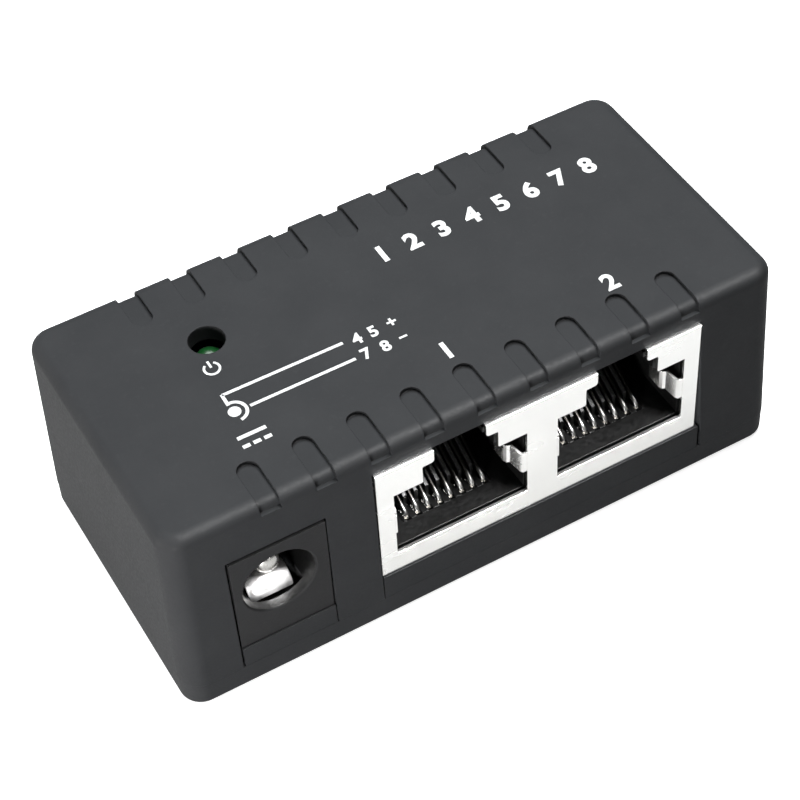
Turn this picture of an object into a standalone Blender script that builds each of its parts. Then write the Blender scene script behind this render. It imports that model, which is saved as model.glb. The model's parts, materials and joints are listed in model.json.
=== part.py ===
"""Passive power-over-network injector: snap-together case, shielded two-port socket, barrel power jack.

The origin is at the middle of the underside, +Z is up, and the sockets face -Y.
The case is sized around what it holds, so a change to a socket, a margin or a wall carries through.
"""

import math

import bmesh
import bpy
from mathutils import Matrix, Vector

MM = 0.001

# General clearances
GAP = 0.3 * MM  # between separate pieces that meet
OVERRUN = 1.0 * MM  # how far a cutter runs past the wall that it opens
WELD = 0.2 * MM  # how far joined shapes run into each other

# Case walls
WALL = 1.5 * MM
ROOF = 1.5 * MM
FLOOR = 1.2 * MM
CASE_WIDTH = 26.8 * MM  # front to back, across the underside
END_DRAFT = math.radians(1.5)
SIDE_DRAFT = math.radians(2.0)
CORNER_RADIUS = 1.9 * MM
TOP_RADIUS = 1.1 * MM
FOOT_RADIUS = 0.5 * MM
SEAM_HEIGHT = 2.45 * MM  # lower edge of the cover
BASE_STEP = 0.2 * MM  # the base plate stands this far inside the cover
TONGUE_STEP = 0.25 * MM  # the tongues under the jacks stand this far inside the cover
LIP_THICKNESS = 0.8 * MM
LIP_HEIGHT = 1.0 * MM  # above the seam
TONGUE_TOP = 4.9 * MM  # under the network socket
JACK_TONGUE_TOP = 4.5 * MM

# Layout along the case
LEFT_MARGIN = 4.5 * MM
JACK_SPACING = 4.1 * MM
RIGHT_MARGIN = 7.9 * MM
FACE_PROUD = 0.25 * MM  # socket faces stand this far out of the wall just under the roof

# Circuit board
LEAD_SPACE = 1.1 * MM
BOARD_THICKNESS = 1.6 * MM
BOARD_CORNER = 1.0 * MM
LEAD_BELOW_BOARD = 0.5 * MM

# Shielded two-port socket
PORT_COUNT = 2
PORT_PITCH = 14.7 * MM
PORT_BODY_WIDTH = 14.8 * MM
PORT_WIDTH = 11.9 * MM
PORT_HEIGHT = 6.85 * MM
PORT_SILL = 3.15 * MM  # opening's lower edge above the board
LATCH_WIDTH = 6.6 * MM
LATCH_RISE = 1.85 * MM
KEY_WIDTH = 4.6 * MM
KEY_NOTCH = 2.2 * MM  # how far the key notch runs back through the shield's roof
SOCKET_HEIGHT = 13.0 * MM
SOCKET_DEPTH = 16.2 * MM
SHEET = 0.3 * MM
CAVITY_DEPTH = 11.6 * MM
ROOF_SPACE = 1.0 * MM
SLOT_PLAY = 0.6 * MM  # between the shield's right edge and its slot in the cover
FINGER_LOW = 2.4 * MM  # root of the earthing finger, above the opening's lower edge
FINGER_HIGH = 4.55 * MM
FINGER_SHEET = 0.21 * MM
FINGER_BENDS = [  # in from the opening's edge, back from the plate, rise of the lower and upper edges
    (0.2 * MM, 0.1 * MM, 0.0, 0.0),
    (1.0 * MM, 1.5 * MM, 1.0 * MM, 0.25 * MM),
    (1.4 * MM, 1.75 * MM, 1.2 * MM, 0.25 * MM),
    (1.5 * MM, 3.4 * MM, 1.5 * MM, 0.25 * MM),
]
SHIELD_LEG_WIDTH = 1.2 * MM

# Socket contacts
CONTACT_COUNT = 8
CONTACT_PITCH = 1.016 * MM
WIRE = 0.4 * MM
BLADE_SETBACK = 2.9 * MM  # hinge line behind the socket face
BLADE_LENGTH = 7.6 * MM
BLADE_SLOPE = math.radians(29.0)
CHANNEL_DROP = 0.85 * MM  # contact tails run this far under the opening's floor
ROW_SPACING = 2.54 * MM
COMB_DEPTH = 2.4 * MM
COMB_RIB = 0.3 * MM
COMB_SETBACK = 1.0 * MM  # the ribs start this far behind the hinge line
COMB_ABOVE = 0.35 * MM  # the low ribs stand this far over the middle of the contacts

# Barrel power jack
JACK_WIDTH = 9.0 * MM
JACK_HEIGHT = 11.0 * MM
JACK_DEPTH = 14.2 * MM
BORE_RADIUS = 3.1 * MM
BORE_DEPTH = 10.0 * MM
BORE_HEIGHT = 6.6 * MM  # bore axis above the board
PIN_RADIUS = 1.05 * MM
PIN_SETBACK = 1.5 * MM
PIN_TAIL_RADIUS = 0.7 * MM
LEAF_WIDTH = 3.9 * MM
LEAF_THICKNESS = 0.3 * MM
LEAF_REACH = 7.4 * MM
LEAF_TIP_SETBACK = 1.3 * MM
LEAF_CREST = 1.5 * MM  # crest of the leaf under the bore axis
LEAF_KNEE = (4.4 * MM, 0.3 * MM)  # where the leaf starts to rise: back from its tip, above its hinge
LEAF_NOSE = [  # back from the tip, under the crest
    (2.0 * MM, 0.25 * MM),
    (1.4 * MM, 0.0),
    (0.8 * MM, 0.1 * MM),
    (0.3 * MM, 0.45 * MM),
    (0.1 * MM, 0.95 * MM),
    (0.3 * MM, 1.4 * MM),
]
LEAF_SINK = 1.4 * MM  # room under the leaf's hinge
SLEEVE_LEAD_BACK = 1.6 * MM  # behind the leaf's hinge
SWITCH_LEAD_FORWARD = 1.0 * MM  # ahead of the leaf's hinge
SWITCH_INSET = 1.1 * MM  # from the jack's right side
TERMINAL_WIDTH = 2.0 * MM
SWITCH_STRIP_WIDTH = 0.5 * MM

# Finger grooves along both long edges
GROOVE_COUNT = 9
GROOVE_PITCH = 4.62 * MM
GROOVE_ROW_X = 0.2 * MM  # middle of each row
GROOVE_WIDTH = 1.75 * MM
GROOVE_REACH = 4.4 * MM  # from the wall's top edge to the round end
GROOVE_DEPTH = 0.35 * MM
GROOVE_DROP = 1.15 * MM  # ledge below the roof

# Indicator
LAMP_HOLE_RADIUS = 1.5 * MM
LAMP_INSET = 12.5 * MM  # from the case's left end
LAMP_CLEARANCE = 1.25 * MM  # between the lamp and the back of the power jack
LAMP_RADIUS = 1.45 * MM
LAMP_FLANGE_RADIUS = 1.9 * MM
LAMP_FLANGE = 1.0 * MM
LAMP_LENGTH = 5.3 * MM
LAMP_LEAD_SPACING = 2.54 * MM
LAMP_LEAD = 0.5 * MM

# Snaps and board posts
SNAP_WIDTH = 8.0 * MM
SNAP_NUB = 0.6 * MM
SNAP_LOW = 3.2 * MM
SNAP_HIGH = 4.0 * MM
SNAP_TOP = 4.6 * MM
POST_RADIUS = 1.3 * MM
PEG_RADIUS = 0.7 * MM
POST_INSET = 1.9 * MM  # post axis from the board's edge

# Parts on the board behind the sockets
TRANSFORMER_LENGTH = 14.0 * MM
TRANSFORMER_HEIGHT = 5.5 * MM
TRANSFORMER_CLEARANCE = 0.6 * MM  # to the shield and to the edge of the board
CAPACITOR_CLEARANCE = 0.4 * MM  # to the shield and to the end of the board
CAPACITOR_HEIGHT = 8.0 * MM
RESISTOR_SIZE = (1.6 * MM, 3.2 * MM, 0.7 * MM)
DIODE_SIZE = (2.6 * MM, 4.3 * MM, 2.2 * MM)
CHIP_EDGE = 0.15 * MM
CAPACITOR_RIM = 0.3 * MM

# Facets
CORNER_STEPS = 6
TOP_STEPS = 5
FOOT_STEPS = 2
GROOVE_STEPS = 10
ROUND_STEPS = 28
DOME_STEPS = 5
SMALL_STEPS = 16
SMOOTH_ANGLE = math.radians(40.0)

# Worked-out places
SOCKET_WIDTH = PORT_PITCH * (PORT_COUNT - 1) + PORT_BODY_WIDTH
CASE_LENGTH = LEFT_MARGIN + JACK_WIDTH + JACK_SPACING + SOCKET_WIDTH + RIGHT_MARGIN
BOARD_BOTTOM = FLOOR + LEAD_SPACE
BOARD_TOP = BOARD_BOTTOM + BOARD_THICKNESS
SOCKET_TOP = BOARD_TOP + SOCKET_HEIGHT
CASE_HEIGHT = SOCKET_TOP + ROOF_SPACE + ROOF
BASE_TOP = SEAM_HEIGHT - GAP
LIP_TOP = SEAM_HEIGHT + LIP_HEIGHT
LIP_OUTER = WALL + GAP
LIP_INNER = LIP_OUTER + LIP_THICKNESS
LEFT_END = -CASE_LENGTH / 2
JACK_LEFT = LEFT_END + LEFT_MARGIN
JACK_X = JACK_LEFT + JACK_WIDTH / 2
SOCKET_LEFT = JACK_LEFT + JACK_WIDTH + JACK_SPACING
SOCKET_RIGHT = SOCKET_LEFT + SOCKET_WIDTH
PORT_CENTRES = [SOCKET_LEFT + PORT_BODY_WIDTH / 2 + PORT_PITCH * i for i in range(PORT_COUNT)]
PORT_NAMES = ["poe", "lan"]
PORT_BOTTOM = BOARD_TOP + PORT_SILL
PORT_TOP = PORT_BOTTOM + PORT_HEIGHT
LATCH_TOP = PORT_TOP + LATCH_RISE
SEAT = BOARD_TOP + GAP  # underside of what stands on the board
NOSE_BOTTOM = TONGUE_TOP + GAP  # the socket's face starts above its tongue
JACK_NOSE_BOTTOM = JACK_TONGUE_TOP + GAP
LAMP_X = LEFT_END + LAMP_INSET


def end_x(height, inset=0.0):
    """Half length of the case at a height, less an inset."""
    return CASE_LENGTH / 2 - height * math.tan(END_DRAFT) - inset


def side_y(height, inset=0.0):
    """Half width of the case at a height, less an inset."""
    return CASE_WIDTH / 2 - height * math.tan(SIDE_DRAFT) - inset


FACE_Y = -side_y(SOCKET_TOP) - FACE_PROUD
TONGUE_BACK = -side_y(TONGUE_TOP, LIP_INNER)
NOSE_BACK = TONGUE_BACK + GAP
BOARD_HALF_LENGTH = end_x(BOARD_TOP, LIP_INNER + GAP)
BOARD_HALF_WIDTH = side_y(BOARD_TOP, LIP_INNER + GAP)
SOCKET_REAR = FACE_Y + SOCKET_DEPTH
HOUSING_FRONT = FACE_Y + SHEET + GAP
HOUSING_REAR = SOCKET_REAR - SHEET - GAP
HOUSING_TOP = SOCKET_TOP - SHEET - GAP
CAVITY_REAR = FACE_Y + CAVITY_DEPTH
BLADE_Y = FACE_Y + BLADE_SETBACK
BLADE_Z = PORT_BOTTOM + WIRE / 2
TAIL_Z = PORT_BOTTOM - CHANNEL_DROP
ROW_A = CAVITY_REAR - ROW_SPACING / 2
ROW_B = ROW_A + ROW_SPACING
JACK_REAR = FACE_Y + JACK_DEPTH
BORE_Z = BOARD_TOP + BORE_HEIGHT
LAMP_Y = JACK_REAR + LAMP_CLEARANCE + LAMP_FLANGE_RADIUS
LEAF_TIP_Y = FACE_Y + LEAF_TIP_SETBACK
LEAF_PIVOT_Y = LEAF_TIP_Y + LEAF_REACH
LEAF_PIVOT_Z = BORE_Z - BORE_RADIUS - LEAF_THICKNESS
SLEEVE_LEAD_Y = LEAF_PIVOT_Y + SLEEVE_LEAD_BACK
SWITCH_X = JACK_LEFT + JACK_WIDTH - SWITCH_INSET
SWITCH_LEAD_Y = LEAF_PIVOT_Y - SWITCH_LEAD_FORWARD
LEAD_END = BOARD_BOTTOM - LEAD_BELOW_BOARD
POST_PLACES = [
    (BOARD_HALF_LENGTH - POST_INSET, BOARD_HALF_WIDTH - POST_INSET),
    (BOARD_HALF_LENGTH - POST_INSET, -BOARD_HALF_WIDTH + POST_INSET),
    (-BOARD_HALF_LENGTH + POST_INSET, BOARD_HALF_WIDTH - POST_INSET),
    (JACK_LEFT + JACK_WIDTH + JACK_SPACING / 2, -BOARD_HALF_WIDTH + POST_INSET),
]


def clear_scene():
    for item in list(bpy.data.objects):
        bpy.data.objects.remove(item, do_unlink=True)


def material(name, color, roughness, metallic=0.0):
    found = bpy.data.materials.get(name)
    if found:
        return found
    made = bpy.data.materials.new(name)
    made.use_nodes = True
    shader = made.node_tree.nodes["Principled BSDF"]
    shader.inputs["Base Color"].default_value = (*color, 1.0)
    shader.inputs["Roughness"].default_value = roughness
    shader.inputs["Metallic"].default_value = metallic
    return made


def case_plastic():
    return material("case_plastic", (0.035, 0.036, 0.038), 0.55)


def insert_plastic():
    return material("insert_plastic", (0.008, 0.008, 0.008), 0.4)


def nickel():
    return material("nickel", (0.82, 0.81, 0.79), 0.28, 1.0)


def spring_metal():
    return material("spring_metal", (0.75, 0.72, 0.66), 0.25, 1.0)


def solder_mask():
    return material("solder_mask", (0.02, 0.16, 0.06), 0.45)


def lamp_resin():
    return material("lamp_resin", (0.02, 0.35, 0.06), 0.15)


def component_black():
    return material("component_black", (0.02, 0.02, 0.022), 0.5)


def capacitor_sleeve():
    return material("capacitor_sleeve", (0.03, 0.04, 0.09), 0.35)


def ceramic():
    return material("ceramic", (0.05, 0.05, 0.05), 0.3)


def make_object(name, mesh_data, finish, origin=(0.0, 0.0, 0.0)):
    """One object from a bmesh in world space, with its own origin moved to the given point."""
    bmesh.ops.recalc_face_normals(mesh_data, faces=mesh_data.faces)
    bmesh.ops.transform(mesh_data, matrix=Matrix.Translation(-Vector(origin)), verts=mesh_data.verts)
    mesh = bpy.data.meshes.new(name)
    mesh_data.to_mesh(mesh)
    mesh_data.free()
    made = bpy.data.objects.new(name, mesh)
    made.location = origin
    bpy.context.scene.collection.objects.link(made)
    mesh.materials.append(finish)
    mesh.shade_smooth()
    mesh.set_sharp_from_angle(angle=SMOOTH_ANGLE)
    return made


def helper(name, mesh_data):
    """A cutter or a shape to join, left out of the model."""
    made = make_object(name, mesh_data, case_plastic())
    made.hide_render = True
    made.display_type = "WIRE"
    return made


def combine(target, other, operation):
    step = target.modifiers.new(other.name, "BOOLEAN")
    step.object = other
    step.operation = operation
    step.solver = "EXACT"
    return target


def cut(target, other):
    return combine(target, other, "DIFFERENCE")


def join(target, other):
    return combine(target, other, "UNION")


def rounded_rectangle(half_x, half_y, radius, steps):
    """Points anticlockwise round a rectangle with round corners."""
    points = []
    for quarter in range(4):
        sign_x = 1 if quarter in (0, 3) else -1
        sign_y = 1 if quarter in (0, 1) else -1
        for i in range(steps + 1):
            angle = math.pi / 2 * (quarter + i / steps)
            x = sign_x * (half_x - radius) + radius * math.cos(angle)
            y = sign_y * (half_y - radius) + radius * math.sin(angle)
            points.append((x, y))
    return points


def loft(rings):
    """Closed body through rings of as many points each, with its ends capped."""
    made = bmesh.new()
    rows = [[made.verts.new(point) for point in ring] for ring in rings]
    for lower, upper in zip(rows, rows[1:]):
        for i in range(len(lower)):
            j = (i + 1) % len(lower)
            made.faces.new((lower[i], lower[j], upper[j], upper[i]))
    made.faces.new(list(reversed(rows[0])))
    made.faces.new(rows[-1])
    return made


def case_ring(height, inset):
    """Outline of the case at a height, moved in by the inset."""
    radius = max(CORNER_RADIUS - inset, GAP)
    outline = rounded_rectangle(end_x(height, inset), side_y(height, inset), radius, CORNER_STEPS)
    return [(x, y, height) for x, y in outline]


def top_rings(inset):
    """Rings over the round top edge of the case, moved in by the inset."""
    radius = TOP_RADIUS - inset
    rings = []
    for i in range(TOP_STEPS + 1):
        angle = math.pi / 2 * i / TOP_STEPS
        height = CASE_HEIGHT - TOP_RADIUS + radius * math.sin(angle)
        rings.append(case_ring(height, inset + radius * (1 - math.cos(angle))))
    return rings


def foot_rings(inset):
    """Rings round the bottom edge of the base plate, lowest first."""
    rings = []
    for i in range(FOOT_STEPS + 1):
        angle = math.pi / 2 * i / FOOT_STEPS
        height = FOOT_RADIUS * (1 - math.cos(angle))
        rings.append(case_ring(height, inset + FOOT_RADIUS * (1 - math.sin(angle))))
    return rings


def box(low, high):
    made = bmesh.new()
    bmesh.ops.create_cube(made, size=1.0)
    size = [high[i] - low[i] for i in range(3)]
    centre = [(high[i] + low[i]) / 2 for i in range(3)]
    bmesh.ops.scale(made, vec=size, verts=made.verts)
    bmesh.ops.translate(made, vec=centre, verts=made.verts)
    return made


def add_shape(target, other):
    """Adds another bmesh's separate bodies to the first."""
    copy = bpy.data.meshes.new("joined")
    other.to_mesh(copy)
    other.free()
    target.from_mesh(copy)
    bpy.data.meshes.remove(copy)
    return target


def several(shapes):
    made = shapes[0]
    for shape in shapes[1:]:
        add_shape(made, shape)
    return made


def turned(profile, centre, steps, along="Z"):
    """Body turned about an axis, from (radius, place along the axis) pairs."""
    rings = []
    for radius, place in profile:
        ring = []
        for i in range(steps):
            angle = 2 * math.pi * i / steps
            a = radius * math.cos(angle)
            b = radius * math.sin(angle)
            if along == "Z":
                ring.append((centre[0] + a, centre[1] + b, place))
            else:
                ring.append((centre[0] + a, place, centre[1] + b))
        rings.append(ring)
    return loft(rings)


def strip(path, thickness, low_x, high_x):
    """Bent strip of even thickness along (y, z) points, between two x values."""
    points = [Vector(point) for point in path]
    left = []
    right = []
    for i, point in enumerate(points):
        before = (point - points[i - 1]).normalized() if i else (points[1] - point).normalized()
        after = (points[i + 1] - point).normalized() if i + 1 < len(points) else before
        middle = (before + after).normalized()
        normal = Vector((-middle.y, middle.x))
        reach = thickness / 2 / max(middle.dot(before), 0.5)
        left.append(point + normal * reach)
        right.append(point - normal * reach)
    outline = left + right[::-1]
    return loft([[(x, point.x, point.y) for point in outline] for x in (low_x, high_x)])


def ribbon(stations, thickness):
    """Upright sheet through (x, y, low z, high z) stations, of even thickness."""
    rings = []
    for i, (x, y, low, high) in enumerate(stations):
        near = stations[max(i - 1, 0)]
        far = stations[min(i + 1, len(stations) - 1)]
        along = Vector((far[0] - near[0], far[1] - near[1])).normalized()
        side = Vector((-along.y, along.x)) * thickness / 2
        rings.append([
            (x - side.x, y - side.y, low),
            (x + side.x, y + side.y, low),
            (x + side.x, y + side.y, high),
            (x - side.x, y - side.y, high),
        ])
    return loft(rings)


def wall_block(left, right, low, high, inset, back):
    """Block whose front follows the case's leaning front wall."""
    rings = []
    for height in (low, high):
        front = -side_y(height, inset)
        rings.append([
            (left, front, height), (right, front, height), (right, back, height), (left, back, height)
        ])
    return loft(rings)


# Cover


def groove_prism(x, side):
    """Upright prism over one groove: a straight slot with a round inner end."""
    radius = GROOVE_WIDTH / 2
    inner = side_y(CASE_HEIGHT) - GROOVE_REACH + radius
    outer = side_y(0.0) + OVERRUN
    outline = []
    for i in range(GROOVE_STEPS + 1):
        angle = math.pi + math.pi * i / GROOVE_STEPS
        outline.append((x + radius * math.cos(angle), side * (inner + radius * math.sin(angle))))
    outline += [(x + radius, side * outer), (x - radius, side * outer)]
    levels = (CASE_HEIGHT - GROOVE_DROP, CASE_HEIGHT + OVERRUN)
    return loft([[(px, py, level) for px, py in outline] for level in levels])


def groove_cutter():
    """What the grooves take away: prisms less the case's shape moved in by their depth."""
    first = GROOVE_ROW_X - GROOVE_PITCH * (GROOVE_COUNT - 1) / 2
    prisms = [
        groove_prism(first + GROOVE_PITCH * i, side) for side in (-1, 1) for i in range(GROOVE_COUNT)
    ]
    cutter = helper("groove_prisms", several(prisms))
    core = helper("groove_floor", loft([case_ring(0.0, GROOVE_DEPTH)] + top_rings(GROOVE_DEPTH)))
    return cut(cutter, core)


def front_slots():
    """Open-bottomed slots in the cover's front wall for the two jacks."""
    low = SEAM_HEIGHT - OVERRUN
    back = -side_y(0.0) + WALL + OVERRUN
    front = -side_y(0.0) - OVERRUN
    jack_top = BOARD_TOP + JACK_HEIGHT + GAP
    jack = box((JACK_LEFT - GAP, front, low), (JACK_LEFT + JACK_WIDTH + GAP, back, jack_top))
    socket_top = SOCKET_TOP + GAP
    socket = box((SOCKET_LEFT - GAP, front, low), (SOCKET_RIGHT + SLOT_PLAY, back, socket_top))
    return helper("front_slots", several([jack, socket]))


def cover_posts():
    """Posts that hold the board down, hanging from the roof."""
    roof = CASE_HEIGHT - ROOF + WELD
    posts = [
        turned([(POST_RADIUS, SEAT), (POST_RADIUS, roof)], place, SMALL_STEPS) for place in POST_PLACES
    ]
    return helper("cover_posts", several(posts))


def snap_pockets():
    """Hollows in the end walls that the base's snaps click into."""
    half = SNAP_WIDTH / 2 + GAP
    inner = end_x(SNAP_TOP, WALL + OVERRUN)
    outer = end_x(SNAP_LOW, WALL - SNAP_NUB)
    pockets = []
    for side in (-1, 1):
        ends = sorted((side * inner, side * outer))
        low = (ends[0], -half, SNAP_LOW - GAP)
        high = (ends[1], half, SNAP_HIGH + GAP)
        pockets.append(box(low, high))
    return helper("snap_pockets", several(pockets))


def top_cover():
    inside = [
        case_ring(CASE_HEIGHT - ROOF, WALL),
        case_ring(SEAM_HEIGHT, WALL),
    ]
    cover = make_object(
        "top_cover", loft(inside + [case_ring(SEAM_HEIGHT, 0.0)] + top_rings(0.0)), case_plastic()
    )
    join(cover, cover_posts())
    cut(cover, front_slots())
    cut(cover, groove_cutter())
    cut(cover, snap_pockets())
    hole = [
        (LAMP_HOLE_RADIUS, CASE_HEIGHT - ROOF - OVERRUN),
        (LAMP_HOLE_RADIUS, CASE_HEIGHT + OVERRUN),
    ]
    cut(cover, helper("lamp_hole", turned(hole, (LAMP_X, LAMP_Y), ROUND_STEPS)))
    return cover


# Base plate


def tongues():
    """Blocks that fill the cover's slots under the jacks."""
    low = FLOOR - WELD
    jack_right = JACK_LEFT + JACK_WIDTH
    jack = wall_block(JACK_LEFT, jack_right, low, JACK_TONGUE_TOP, TONGUE_STEP, TONGUE_BACK)
    right = SOCKET_RIGHT + SLOT_PLAY - GAP
    socket = wall_block(SOCKET_LEFT, right, low, TONGUE_TOP, TONGUE_STEP, TONGUE_BACK)
    return helper("tongues", several([jack, socket]))


def snaps():
    """A tab with an outward nub at each end."""
    half = SNAP_WIDTH / 2
    face = end_x(SNAP_TOP, LIP_OUTER)
    shapes = []
    for side in (-1, 1):
        ends = sorted((side * (face - LIP_THICKNESS), side * face))
        tab = box((ends[0], -half, FLOOR - WELD), (ends[1], half, SNAP_TOP))
        ends = sorted((side * (face - WELD), side * (face + SNAP_NUB)))
        nub = box((ends[0], -half, SNAP_LOW), (ends[1], half, SNAP_HIGH))
        shapes.append((tab, nub))
    tabs = helper("snap_tabs", several([tab for tab, _ in shapes]))
    nubs = helper("snap_nubs", several([nub for _, nub in shapes]))
    return join(tabs, nubs)


def board_rests():
    """Stepped posts under the board whose pegs pass through it."""
    rest = BOARD_BOTTOM - GAP
    profile = [
        (POST_RADIUS, FLOOR - WELD),
        (POST_RADIUS, rest),
        (PEG_RADIUS, rest),
        (PEG_RADIUS, BOARD_TOP),
    ]
    return helper("board_rests", several([turned(profile, place, SMALL_STEPS) for place in POST_PLACES]))


def base_plate():
    rings = [
        case_ring(FLOOR, LIP_INNER),
        case_ring(LIP_TOP, LIP_INNER),
        case_ring(LIP_TOP, LIP_OUTER),
        case_ring(BASE_TOP, LIP_OUTER),
        case_ring(BASE_TOP, BASE_STEP),
    ] + list(reversed(foot_rings(BASE_STEP)))
    base = make_object("base_plate", loft(rings), case_plastic())
    join(base, tongues())
    join(base, snaps())
    join(base, board_rests())
    return base


# Circuit board


def contact_x(port, index):
    return PORT_CENTRES[port] + CONTACT_PITCH * (index - (CONTACT_COUNT - 1) / 2)


def contact_row(index):
    return ROW_A if index % 2 else ROW_B


def lead_hole(x, y, half_x, half_y):
    low = (x - half_x - GAP, y - half_y - GAP, BOARD_BOTTOM - OVERRUN)
    high = (x + half_x + GAP, y + half_y + GAP, BOARD_TOP + OVERRUN)
    return box(low, high)


def shield_leg_places():
    front = FACE_Y + SOCKET_DEPTH / 2
    rear = SOCKET_REAR - SHIELD_LEG_WIDTH
    sides = (SOCKET_LEFT + SHEET / 2, SOCKET_RIGHT - SHEET / 2)
    return [(x, y) for x in sides for y in (front, rear)]


def lamp_lead_places():
    half = LAMP_LEAD_SPACING / 2
    return [(LAMP_X - half, LAMP_Y), (LAMP_X + half, LAMP_Y)]


def jack_lead_places():
    """(x, y, half x, half y) of the power jack's three leads."""
    pin = (JACK_X, JACK_REAR + GAP + LEAF_THICKNESS / 2, TERMINAL_WIDTH / 2, LEAF_THICKNESS / 2)
    sleeve = (JACK_X, SLEEVE_LEAD_Y, TERMINAL_WIDTH / 2, LEAF_THICKNESS / 2)
    switch = (SWITCH_X, SWITCH_LEAD_Y, SWITCH_STRIP_WIDTH / 2, LEAF_THICKNESS / 2)
    return [pin, sleeve, switch]


def circuit_board():
    outline = rounded_rectangle(BOARD_HALF_LENGTH, BOARD_HALF_WIDTH, BOARD_CORNER, CORNER_STEPS)
    rings = [[(x, y, height) for x, y in outline] for height in (BOARD_BOTTOM, BOARD_TOP)]
    board = make_object("circuit_board", loft(rings), solder_mask())
    holes = [
        lead_hole(contact_x(port, i), contact_row(i), WIRE / 2, WIRE / 2)
        for port in range(PORT_COUNT) for i in range(CONTACT_COUNT)
    ]
    holes += [lead_hole(x, y, SHEET / 2, SHIELD_LEG_WIDTH / 2) for x, y in shield_leg_places()]
    holes += [lead_hole(x, y, LAMP_LEAD / 2, LAMP_LEAD / 2) for x, y in lamp_lead_places()]
    holes += [lead_hole(*place) for place in jack_lead_places()]
    pegs = [(PEG_RADIUS + GAP, BOARD_BOTTOM - OVERRUN), (PEG_RADIUS + GAP, BOARD_TOP + OVERRUN)]
    holes += [turned(pegs, place, SMALL_STEPS) for place in POST_PLACES]
    cut(board, helper("board_holes", several(holes)))
    return board


# Shielded socket


def port_openings(front, rear, top):
    """Stepped openings of both ports, between two y values, with the key notch up to a height."""
    levels = [
        (PORT_WIDTH / 2, PORT_BOTTOM), (PORT_WIDTH / 2, PORT_TOP),
        (LATCH_WIDTH / 2, PORT_TOP), (LATCH_WIDTH / 2, LATCH_TOP),
        (KEY_WIDTH / 2, LATCH_TOP), (KEY_WIDTH / 2, top),
    ]
    outline = [(x, z) for x, z in levels] + [(-x, z) for x, z in reversed(levels)]
    return several([
        loft([[(centre + x, y, z) for x, z in outline] for y in (front, rear)])
        for centre in PORT_CENTRES
    ])


def earthing_finger(centre, side):
    """Spring finger folded in from the edge of an opening."""
    low = PORT_BOTTOM + FINGER_LOW
    high = PORT_BOTTOM + FINGER_HIGH
    edge = PORT_WIDTH / 2
    middle = FACE_Y + SHEET / 2
    stations = [(centre + side * (edge + WELD), middle, low, high)]
    for inward, back, rise_low, rise_high in FINGER_BENDS:
        x = centre + side * (edge - inward)
        stations.append((x, middle + back, low + rise_low, high + rise_high))
    return ribbon(stations, FINGER_SHEET)


def rj45_shield():
    """Folded sheet cover with a stepped front plate, open underneath."""
    outer = box((SOCKET_LEFT, FACE_Y, SEAT), (SOCKET_RIGHT, SOCKET_REAR, SOCKET_TOP))
    shield = make_object("rj45_shield", outer, nickel())
    low = (SOCKET_LEFT + SHEET, FACE_Y + SHEET, SEAT - OVERRUN)
    high = (SOCKET_RIGHT - SHEET, SOCKET_REAR - SHEET, SOCKET_TOP - SHEET)
    cut(shield, helper("shield_inside", box(low, high)))
    step = box(
        (SOCKET_LEFT - OVERRUN, FACE_Y - OVERRUN, SEAT - OVERRUN),
        (SOCKET_RIGHT + OVERRUN, NOSE_BACK, NOSE_BOTTOM),
    )
    cut(shield, helper("shield_step", step))
    opening = port_openings(FACE_Y - OVERRUN, HOUSING_FRONT - GAP / 2, SOCKET_TOP + OVERRUN)
    cut(shield, helper("shield_openings", opening))
    notches = []
    for centre in PORT_CENTRES:
        low = (centre - KEY_WIDTH / 2, FACE_Y - OVERRUN, LATCH_TOP + WELD)
        high = (centre + KEY_WIDTH / 2, FACE_Y + KEY_NOTCH, SOCKET_TOP + OVERRUN)
        notches.append(box(low, high))
    cut(shield, helper("key_notches", several(notches)))
    fingers = [earthing_finger(centre, side) for centre in PORT_CENTRES for side in (-1, 1)]
    join(shield, helper("earthing_fingers", several(fingers)))
    legs = []
    for x, y in shield_leg_places():
        low = (x - SHEET / 2, y - SHIELD_LEG_WIDTH / 2, LEAD_END)
        high = (x + SHEET / 2, y + SHIELD_LEG_WIDTH / 2, SEAT + WELD)
        legs.append(box(low, high))
    join(shield, helper("shield_legs", several(legs)))
    return shield


def blade_slots():
    """Room in the housing for the contacts of both ports and their tails."""
    half = CONTACT_PITCH * (CONTACT_COUNT - 1) / 2 + WIRE / 2 + GAP
    shapes = []
    for centre in PORT_CENTRES:
        left = centre - half
        right = centre + half
        low = TAIL_Z - WIRE / 2 - GAP
        high = TAIL_Z + WIRE / 2 + GAP / 2
        front = BLADE_Y - WIRE / 2 - GAP
        rear = ROW_B + WIRE / 2 + GAP
        mouth_rear = BLADE_Y + WIRE / 2 + 2 * GAP
        drop_front = ROW_A - WIRE / 2 - GAP
        shapes.append(box((left, front, low), (right, rear, high)))
        shapes.append(box((left, front, high - WELD), (right, mouth_rear, PORT_BOTTOM + WELD)))
        shapes.append(box((left, drop_front, SEAT - OVERRUN), (right, rear, low + WELD)))
    first = helper("contact_channels", shapes[0])
    for shape in shapes[1:]:
        join(first, helper("contact_room", shape))
    return first


def comb_profile():
    """(y, z) corners of a comb rib: low and sloping beside the contacts, full height at the back."""
    front = BLADE_Y + COMB_SETBACK
    comb_front = CAVITY_REAR - COMB_DEPTH
    front_top = BLADE_Z + COMB_SETBACK * math.tan(BLADE_SLOPE) + COMB_ABOVE
    comb_top = front_top + (comb_front - front) * math.tan(BLADE_SLOPE)
    return [
        (front, PORT_BOTTOM - WELD), (front, front_top), (comb_front, comb_top),
        (comb_front, PORT_TOP + WELD), (CAVITY_REAR + WELD, PORT_TOP + WELD),
        (CAVITY_REAR + WELD, PORT_BOTTOM - WELD),
    ]


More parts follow.
